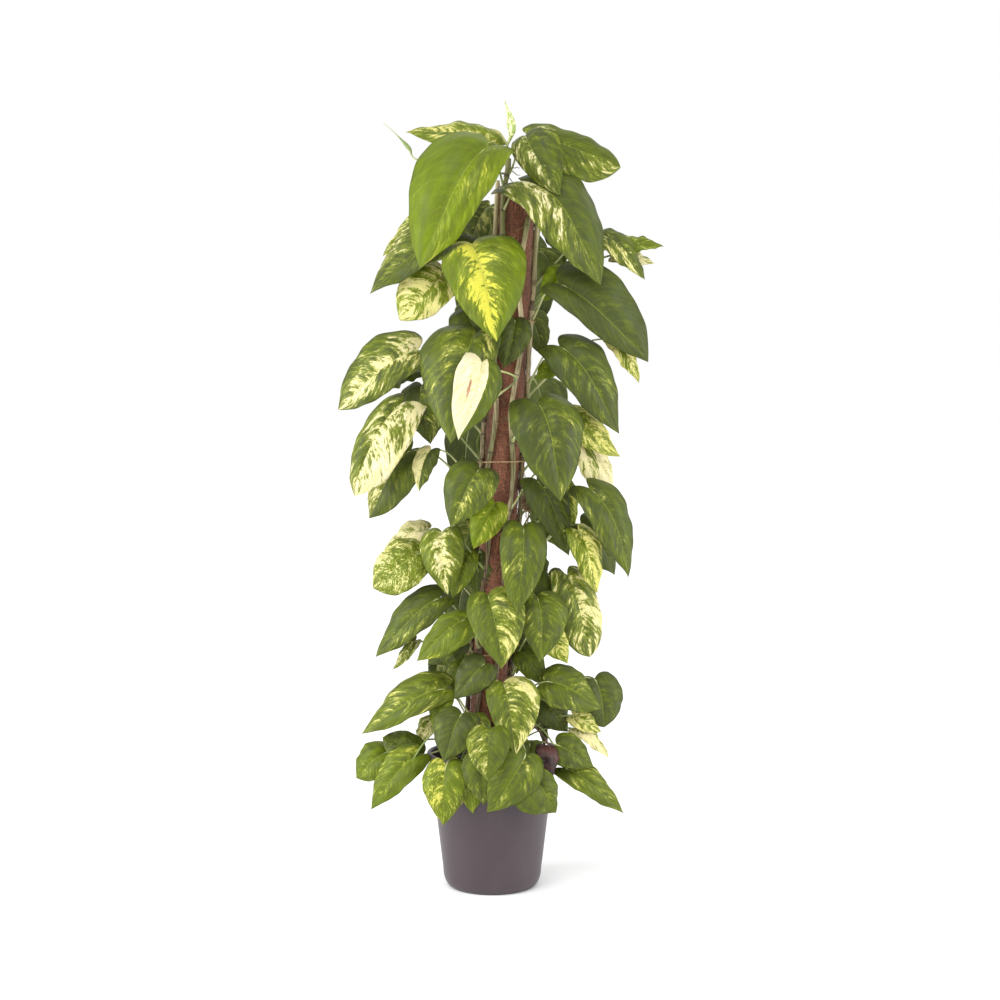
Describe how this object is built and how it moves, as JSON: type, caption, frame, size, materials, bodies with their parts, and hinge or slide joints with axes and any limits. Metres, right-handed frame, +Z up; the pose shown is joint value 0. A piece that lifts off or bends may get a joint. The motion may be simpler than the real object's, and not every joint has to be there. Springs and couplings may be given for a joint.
{
  "type": "potted climbing houseplant",
  "caption": "Climbing pothos with variegated heart-shaped leaves, trained up a coir pole in a round tapered plastic grower's pot.",
  "frame": {"origin": "centre of the flat underside of the pot", "axes": "+Z up along the pot's axis, -Y towards the front that the fullest leaves face, +X to the viewer's right"},
  "size_m": [0.6258, 0.4146, 1.5122],
  "materials": {
    "pot": "satin",
    "soil": "matte",
    "stake_wood": "matte",
    "coir": "matte",
    "vine": "matte",
    "twine": "matte",
    "leaf": "satin",
    "new_leaf": "satin",
    "dead_leaf": "satin"
  },
  "bodies": {
    "root": {"pot": "pot", "potting_soil": "soil", "pole_core": "stake_wood", "coir_sleeve": "coir", "vine_a": "vine", "vine_b": "vine", "vine_c": "vine", "vine_d": "vine", "vine_e": "vine", "vine_f": "vine", "tie_1": "twine", "tie_2": "twine", "tie_3": "twine", "leaf_01": "leaf", "leaf_02": "leaf", "leaf_03": "leaf", "leaf_04": "leaf", "leaf_05": "leaf", "leaf_06": "leaf", "leaf_07": "leaf", "leaf_08": "leaf", "leaf_09": "leaf", "leaf_10": "leaf", "leaf_11": "leaf", "leaf_12": "leaf", "leaf_13": "leaf", "leaf_14": "leaf", "leaf_15": "leaf", "leaf_16": "leaf", "leaf_17": "leaf", "leaf_18": "leaf", "leaf_19": "leaf", "leaf_20": "leaf", "leaf_21": "leaf", "leaf_22": "leaf", "leaf_23": "leaf", "leaf_24": "leaf", "leaf_25": "leaf", "leaf_26": "leaf", "leaf_27": "leaf", "leaf_28": "leaf", "leaf_29": "leaf", "leaf_30": "leaf", "leaf_31": "leaf", "leaf_32": "leaf", "leaf_33": "leaf", "leaf_34": "leaf", "leaf_35": "leaf", "leaf_36": "leaf", "leaf_37": "leaf", "leaf_38": "leaf", "leaf_39": "leaf", "leaf_40": "leaf", "leaf_41": "leaf", "leaf_42": "leaf", "leaf_43": "leaf", "leaf_44": "leaf", "leaf_45": "leaf", "furled_leaf": "new_leaf", "withered_leaf": "dead_leaf"}
  },
  "joints": []
}
